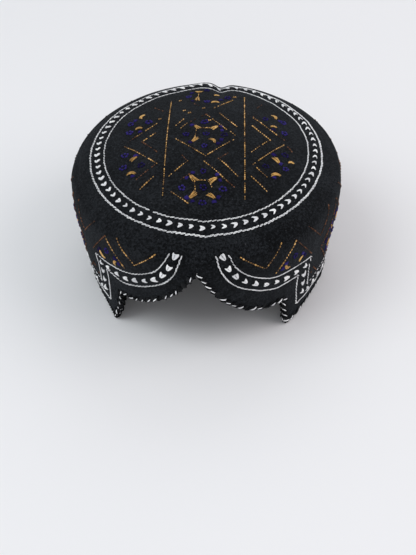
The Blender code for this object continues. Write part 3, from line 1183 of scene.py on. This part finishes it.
class CAP_OT_white_band(bpy.types.Operator):
    """Embroiders the two white lines and the marks that follow the hem"""

    bl_idname = "cap.white_band"
    bl_label = "White Band"

    def execute(self, context):
        sizes = context.scene.cap_sizes
        turn_back = [row[0] for row in BAND_INNER].index("corner")
        outer = both_sides(BAND_OUTER, -0.0002)
        inner = both_sides(BAND_INNER[: turn_back + 1], -0.0002)
        low = both_sides(BAND_INNER[turn_back:], -0.0001)
        middle = both_sides(middle_table(), 0.0, -8)
        running = [running_form("white_running_form", 0.0014, 0.00018)]
        chain, mark, plain, even = sizes.chain_spacing, sizes.mark_spacing, 0.0042, (1.0, 1.0, 1.0)
        for name, runs, forms, gap, size, spread, turn, share, seed in (
            ("outer_chain", outer, [chain_form()], chain, (0.84, 0.72, 0.9), 0.18, 0.10, 1.0, 12),
            ("inner_chain", inner, [chain_form()], chain, (0.86, 0.60, 0.85), 0.18, 0.10, 0.97, 15),
            ("inner_running", low, running, plain, even, 0.12, 0.08, 1.0, 17),
            ("marks", middle, mark_forms(0.0018), mark, (0.92, 0.90, 0.92), 0.14, 0.30, 1.0, 19),
        ):
            own = {"spacing": gap, "size": size, "kept_share": share, "size_spread": spread}
            stitched("band_" + name, runs, forms, "white_thread", seed, turn_spread=turn, **own)
        return {"FINISHED"}


def straight(x0, y0, x1, y1, step=0.0006):
    """Points evenly along a straight line on the cloth."""
    count = max(int(math.hypot(x1 - x0, y1 - y0) / step), 2)
    t = np.linspace(0, 1, count)
    return x0 + (x1 - x0) * t, y0 + (y1 - y0) * t


def cut_runs(keep, *columns):
    """The stretches of a line where keep is true, at least five points long."""
    runs, start = [], None
    for i, k in enumerate(list(keep) + [False]):
        if k and start is None:
            start = i
        if not k and start is not None:
            if i - start > 4:
                runs.append([c[start:i] for c in columns])
            start = None
    return runs


def wall_centres():
    """Angle of each rosette on the band, evenly spaced from flap to flap round the back."""
    first, whole = round_length(WALL_FIRST_ANGLE), 2 * round_length(180.0)
    step = (whole - 2 * first) / (WALL_ROSETTES - 1)
    places = first + step * np.arange(WALL_ROSETTES) + round_length(WALL_TURN)
    return [float(p) if p < whole / 2 else float(p - whole) for p in places], step


def inner_line_height(angle):
    """Height of the inner white line over this angle, for keeping the gold pattern above it."""
    angle = np.asarray(angle, float)
    high = np.full(angle.shape, BAND_INNER[-1][2])
    notch = [row[0] for row in BAND_INNER].index("notch")
    for side in (-1, 1):
        path = side_path(BAND_INNER, side)
        front = np.abs(path[:, 0]) < abs(BAND_INNER[notch][1 if side < 0 else 3]) + 0.3
        a, h = path[front, 0], path[front, 1]
        order = np.argsort(a)
        inside = (angle * side >= 0) & (np.abs(angle) <= np.abs(a).max())
        high = np.where(inside, np.interp(angle, a[order], h[order]), high)
        turn = (angle * side >= 0) & (np.abs(angle) < np.abs(a).max() + 2.5)
        high = np.where(turn & ~inside, BAND_INNER[notch][2], high)
    return np.where(np.abs(angle) < 9.0, 0.09, high)


def wall_lines():
    """The lines of the band's pattern: thread, then length round and height at both ends."""
    centres, step = wall_centres()
    wide, tall = step / 2 * 0.80, DIAMOND_HALF_HEIGHT
    z = WALL_ROSETTE_HEIGHT
    lines = []
    for s, sx, sy in ((s, sx, sy) for s in centres for sx in (-1, 1) for sy in (-1, 1)):
        front = abs(s + sx * 0.001) < round_length(43.5) and sx * s < 0
        dye = "gold" if front else "rust"
        ends = (s + sx * 0.0004, z + sy * tall, s + sx * wide * 0.97, z + sy * tall * 0.05)
        lines.append((dye, *ends))
        a, b = s + sx * step / 2, s + sx * (step / 2 - 0.0135)
        if abs(a) > round_length(32) or sy < 0:
            lines.append((dye, a, z + sy * 0.0150, b, z + sy * 0.0302))
    return lines


class CAP_OT_gold_lines(bpy.types.Operator):
    """Embroiders the gold and rust lines of running stitch"""

    bl_idname = "cap.gold_lines"
    bl_label = "Gold Lines"

    def execute(self, context):
        dots = [(x - 0.0006, y, x + 0.0006, y + 0.0003) for x, y in metres(CROWN_DOTS)]
        crown = [metres(CROWN_GOLD), metres(CROWN_RUST), metres(CROWN_JOINS), dots]
        for i, lines in enumerate(crown):
            crown[i] = []
            for line in lines:
                x, y = straight(*line, step=0.0002)
                inside = np.hypot(x, y / LENGTH_PER_WIDTH) < PATTERN_EDGE
                crown[i] += [on_crown(*run, 0.0001) for run in cut_runs(inside, x, y)]
        band = {"gold": [], "rust": []}
        for dye, *line in wall_lines():
            s, z = straight(*line)
            angle = wrapped(angle_along(s))
            clear = (z > inner_line_height(angle) + WALL_CLEAR) & (z < WALL_PATTERN_TOP)
            band[dye] += [on_band(*run, 0.0001) for run in cut_runs(clear, angle, z)]
        for high, low, end in FRONT_CHEVRONS:
            arms = straight(*high, *low, 0.2), straight(*low, *end, 0.2)
            band["gold"].append(on_band(*np.concatenate(arms, axis=1), 0.0001))
        own = {"size_spread": 0.16, "turn_spread": 0.09, "swell": 0.20, "beat": 7.3}
        own["spacing"] = context.scene.cap_sizes.running_spacing
        for name, runs, size, share, seed in (
            ("crown_gold_lines", crown[0], (1, 0.68, 0.82), 0.96, 31),
            ("crown_rust_lines", crown[1], (1, 0.76, 0.8), 0.96, 33),
            ("crown_gold_joins", crown[2], (1, 0.55, 0.7), 1.0, 35),
            ("crown_gold_dots", crown[3], (0.7, 1.2, 1.1), 1.0, 36),
            ("band_gold_lines", band["gold"], (1, 0.76, 0.85), 1.0, 41),
            ("band_rust_lines", band["rust"], (1, 0.78, 0.8), 0.96, 43),
        ):
            dye = "rust_thread" if "rust" in name else "gold_thread"
            stitched(name, runs, [running_form()], dye, seed, size=size, kept_share=share, **own)
        return {"FINISHED"}


def rosette_marks(cx, cy):
    """The petals, eyelets and patches of one rosette: across, up, direction and kind."""
    petals, knots, dashes = [], [], []
    for sx in (-1, 1):
        for sy in (-1, 1):
            x, y = cx + sx * ROSETTE_PETAL[0], cy + sy * ROSETTE_PETAL[1]
            way = math.atan2(sy * 0.0080, sx * 0.0058)
            petals.append((x, y, way, (sx + 1) // 2 + (sy + 1) // 2))
            for lean, far in ((0.35, 0.0046), (-0.75, 0.0040)):
                angle = way + lean * sx * sy
                at = (x + far * math.cos(angle), y + far * math.sin(angle))
                dashes.append((*at, angle + 1.3, 0))
    knots.append((cx, cy, 0.0, 0))
    for sx, sy in ((-1, 0), (1, 0), (0, -1), (0, 1)):
        at = (cx + sx * ROSETTE_KNOT[0], cy + sy * ROSETTE_KNOT[1])
        knots.append((*at, 0.0 if sx else 1.57, 1 + (sx == 0)))
    return petals, knots, dashes


def set_marks(marks, surface, keep):
    """Single marks on a surface: points, directions out and along, and kinds."""
    chosen = [m for m in marks if keep(m[0], m[1])]
    x, y, way, kind = (np.array(c, float) for c in zip(*chosen))
    at, out = surface(x, y)
    ahead, _ = surface(x + 0.0005 * np.cos(way), y + 0.0005 * np.sin(way))
    return at, out, ahead - at, kind.astype(int)


def on_wall(s, z):
    return on_band(wrapped(angle_along(s)), z)


def clear_of_lines(s, z):
    low = inner_line_height(wrapped(angle_along(s)))
    return low + WALL_CLEAR + 0.001 < z < WALL_MARK_TOP


def inside_ring(x, y):
    return math.hypot(x, y / LENGTH_PER_WIDTH) < PATTERN_EDGE - 0.0010


# Petals: half length, half width, bend, looseness. Eyelets: length, thickness of the thread
PETALS = (
    (0.0036, 0.00118, 0.0002, 0.12),
    (0.0034, 0.00086, 0.0011, 0.14),
    (0.0025, 0.00068, 0.0008, 0.08),
)
EYELETS = ((1.2, 0.00060), (1.0, 0.00064), (1.1, 0.00057))


class CAP_OT_rosettes(bpy.types.Operator):
    """Embroiders the gold petals and blue eyelets of the rosettes"""

    bl_idname = "cap.rosettes"
    bl_label = "Rosettes"

    def execute(self, context):
        petals = [
            (x / TENTHS, y / TENTHS, math.radians(way), PETAL_KINDS.index(kind))
            for x, y, way, kind in CROWN_PETALS
        ]
        eyelets = [(x, y, 0.4 * i, i % 3) for i, (x, y) in enumerate(metres(CROWN_EYELETS))]
        patches = [(x / TENTHS, y / TENTHS, math.radians(way), 0) for x, y, way in CROWN_PATCHES]
        groups = [rosette_marks(s, WALL_ROSETTE_HEIGHT) for s in wall_centres()[0]]
        wall = [sum(marks, []) for marks in zip(*groups)]
        for part, marks, surface, keep, long in (
            ("crown_", (petals, eyelets, patches), on_crown, inside_ring, 1.0),
            ("band_", wall, on_wall, clear_of_lines, 1.12),
        ):
            sets = [[set_marks(m, surface, keep)] for m in marks]
            petals = three_forms(petal_form, "petal", PETALS)
            eyelets = three_forms(knot_form, "knot", EYELETS)
            own = {"size_spread": 0.12, "turn_spread": 0.16}
            for what, runs, forms, dye, size, seed in (
                ("petals", sets[0], petals, "gold_petal_thread", (long, 1.0, 1.0), 50),
                ("eyelets", sets[1], eyelets, "blue_thread", (1.22, 1.22, 1.0), 51),
                ("patches", sets[2], [dash_form()], "blue_thread", (1.0, 1.0, 1.0), 52),
            ):
                stitched(part + what, runs, forms, dye, seed, size=size, **own)
        return {"FINISHED"}


# Camera and light
CAMERA_TURN, CAMERA_RISE, CAMERA_FAR = 2.5, 36.21, 0.8036
CAMERA_AIM_HEIGHT = 0.05
FOCAL_PIXELS, IMAGE_HIGH = 1100.0, 555.0
AXIS_ACROSS, AXIS_DOWN, CAMERA_ROLL = 0.28, -78.5, -0.95


def photo_camera():
    """A camera at the angle and distance from which the cap is seen."""
    turn, rise, roll = (math.radians(v) for v in (CAMERA_TURN, CAMERA_RISE, CAMERA_ROLL))
    aim = Vector((0, 0, CAMERA_AIM_HEIGHT))
    level = math.cos(rise)
    back = Vector((math.sin(turn) * level, -math.cos(turn) * level, math.sin(rise)))
    place = aim + back * CAMERA_FAR
    ahead = -back
    right = ahead.cross(Vector((0, 0, 1))).normalized()
    up = right.cross(ahead)
    tilt, swing = math.atan2(AXIS_DOWN, FOCAL_PIXELS), math.atan2(AXIS_ACROSS, FOCAL_PIXELS)
    ahead = ahead * math.cos(tilt) + up * math.sin(tilt)
    up = right.cross(ahead)
    ahead = ahead * math.cos(swing) - right * math.sin(swing)
    right = ahead.cross(up).normalized()
    up = right.cross(ahead)
    right, up = (
        right * math.cos(roll) + up * math.sin(roll),
        up * math.cos(roll) - right * math.sin(roll),
    )
    data = bpy.data.cameras.new("photo_camera")
    data.lens = 36.0 * FOCAL_PIXELS / IMAGE_HIGH
    data.sensor_width = 36.0
    camera = link("photo_camera", data)
    turned = Matrix((right, up, -ahead)).transposed()
    camera.matrix_world = Matrix.Translation(place) @ turned.to_4x4()
    bpy.context.scene.camera = camera


def soft_light(name, place, aim, power, size, color=(1, 1, 1)):
    data = bpy.data.lights.new(name, "AREA")
    data.energy, data.size, data.color = power, size, color
    data.shape = "DISK"
    lamp = link(name, data)
    lamp.location = place
    lamp.rotation_euler = (Vector(aim) - Vector(place)).to_track_quat("-Z", "Y").to_euler()


class CAP_OT_studio(bpy.types.Operator):
    """Sets up the pale floor, the soft lights and the camera"""

    bl_idname = "cap.studio"
    bl_label = "Studio"

    def execute(self, context):
        mesh = bpy.data.meshes.new("studio_floor")
        mesh.from_pydata([(-6, -6, 0), (6, -6, 0), (6, 6, 0), (-6, 6, 0)], [], [(0, 1, 2, 3)])
        floor = link("studio_floor", mesh)
        mesh.materials.append(floor_material(tuple(context.scene.cap_colours.floor)))
        soft_light("key_light", (-0.95, -0.45, 1.45), (0, 0, 0.05), 10.5, 1.3, (0.91, 0.985, 1.0))
        soft_light("fill_light", (1.2, -0.2, 1.0), (0, 0, 0.05), 8.0, 1.4, (1.0, 0.925, 0.92))
        soft_light("back_light", (0.2, 1.3, 1.1), (0, 0, 0.08), 4, 1.2, (0.97, 0.985, 1.0))
        soft_light("front_light", (0.0, -1.5, 0.30), (0, 0, 0.0), 3, 0.8, (1.0, 0.98, 0.97))
        world = bpy.data.worlds.new("studio_world")
        world.use_nodes = True
        background = world.node_tree.nodes["Background"]
        background.inputs["Color"].default_value = (0.93, 0.96, 1.0, 1)
        background.inputs["Strength"].default_value = 0.54
        context.scene.world = world
        context.scene.view_settings.view_transform = "Standard"
        photo_camera()
        return {"FINISHED"}


class CAP_PT_panel(bpy.types.Panel):
    """Lists the steps of making the cap"""

    bl_idname = "CAP_PT_panel"
    bl_label = "Sindhi Cap"
    bl_space_type = "VIEW_3D"
    bl_region_type = "UI"
    bl_category = "Cap"

    def draw(self, context):
        layout = self.layout
        for step in STEPS:
            layout.operator(step.bl_idname)
        for group in (context.scene.cap_sizes, context.scene.cap_colours):
            box = layout.box()
            for key in group.__annotations__:
                box.prop(group, key)


STEPS = (
    CAP_OT_side_band,
    CAP_OT_crown,
    CAP_OT_hem_edging,
    CAP_OT_white_ring,
    CAP_OT_white_band,
    CAP_OT_gold_lines,
    CAP_OT_rosettes,
    CAP_OT_studio,
)
CLASSES = (CapSizes, CapColours, *STEPS, CAP_PT_panel)


def register():
    for cls in CLASSES:
        bpy.utils.register_class(cls)
    bpy.types.Scene.cap_sizes = PointerProperty(type=CapSizes)
    bpy.types.Scene.cap_colours = PointerProperty(type=CapColours)


def unregister():
    del bpy.types.Scene.cap_colours
    del bpy.types.Scene.cap_sizes
    for cls in reversed(CLASSES):
        bpy.utils.unregister_class(cls)


def main():
    register()
    bpy.ops.cap.side_band()
    bpy.ops.cap.crown()
    bpy.ops.cap.hem_edging()
    bpy.ops.cap.white_ring()
    bpy.ops.cap.white_band()
    bpy.ops.cap.gold_lines()
    bpy.ops.cap.rosettes()
    bpy.ops.cap.studio()


if __name__ == "__main__":
    main()
